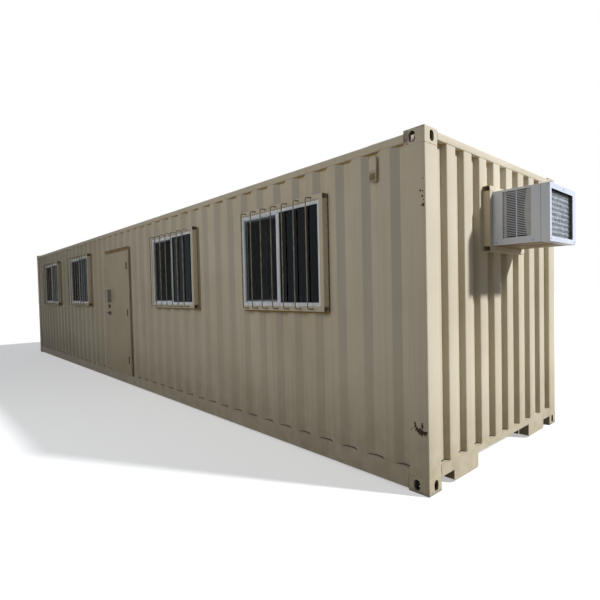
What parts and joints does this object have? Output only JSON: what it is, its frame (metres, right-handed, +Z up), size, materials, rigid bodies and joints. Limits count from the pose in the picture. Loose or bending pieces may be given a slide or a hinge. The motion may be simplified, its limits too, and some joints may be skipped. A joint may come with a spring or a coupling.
{
  "type": "shipping container cabin",
  "caption": "Steel shipping container made into a site cabin, with a hinged steel door, barred sliding windows and an air conditioner through one end wall.",
  "frame": {"origin": "centre of the bottom twistlock apertures, on the ground", "axes": "+X along the cabin towards the end wall with the air conditioner, -Y out through the door wall, +Z up"},
  "size_m": [12.687, 2.519, 2.591],
  "materials": {
    "cabin_paint": "satin",
    "lining_board": "matte",
    "floor_board": "matte",
    "window_aluminium": "satin",
    "window_glass": "gloss",
    "hardware_steel": "satin",
    "cooler_enamel": "gloss",
    "cooler_aluminium": "satin"
  },
  "bodies": {
    "cabin": {"back_wall": "cabin_paint", "back_wall_lining": "lining_board", "bottom_corner_castings": "cabin_paint", "ceiling": "lining_board", "cooler_base_pan": "cooler_aluminium", "cooler_case": "cooler_enamel", "cooler_coil": "cooler_aluminium", "cooler_end_wall": "cabin_paint", "cooler_surround": "cabin_paint", "corner_posts": "cabin_paint", "door_drip_cap": "cabin_paint", "door_frame": "cabin_paint", "door_threshold": "hardware_steel", "door_wall_left": "cabin_paint", "door_wall_lining": "lining_board", "door_wall_over_door": "cabin_paint", "door_wall_right": "cabin_paint", "end_linings": "lining_board", "end_sills": "cabin_paint", "floor_boards": "floor_board", "floor_joists": "cabin_paint", "floor_side_rails": "cabin_paint", "frame_hinge_leaves": "cabin_paint", "plain_end_wall": "cabin_paint", "roof_header_plates": "cabin_paint", "roof_sheet": "cabin_paint", "top_corner_castings": "cabin_paint", "top_end_rails": "cabin_paint", "top_side_rails": "cabin_paint", "tunnel_plates": "cabin_paint", "wall_ventilator": "cabin_paint", "window_frame_1": "window_aluminium", "window_frame_2": "window_aluminium", "window_frame_3": "window_aluminium", "window_frame_4": "window_aluminium", "window_glass": "window_glass", "window_surround_1": "cabin_paint", "window_surround_2": "cabin_paint", "window_surround_3": "cabin_paint", "window_surround_4": "cabin_paint"},
    "door": {"door_deadbolt": "hardware_steel", "door_hinge_leaves": "cabin_paint", "door_leaf": "cabin_paint", "door_lever": "hardware_steel", "door_lock_guard": "hardware_steel"}
  },
  "joints": [
    {"name": "door_hinge", "type": "hinge", "parent": "cabin", "child": "door", "pos_m": [0.5245, -1.247, 1.186], "axis": [0, 0, 1], "range_deg": [0, 170]}
  ]
}
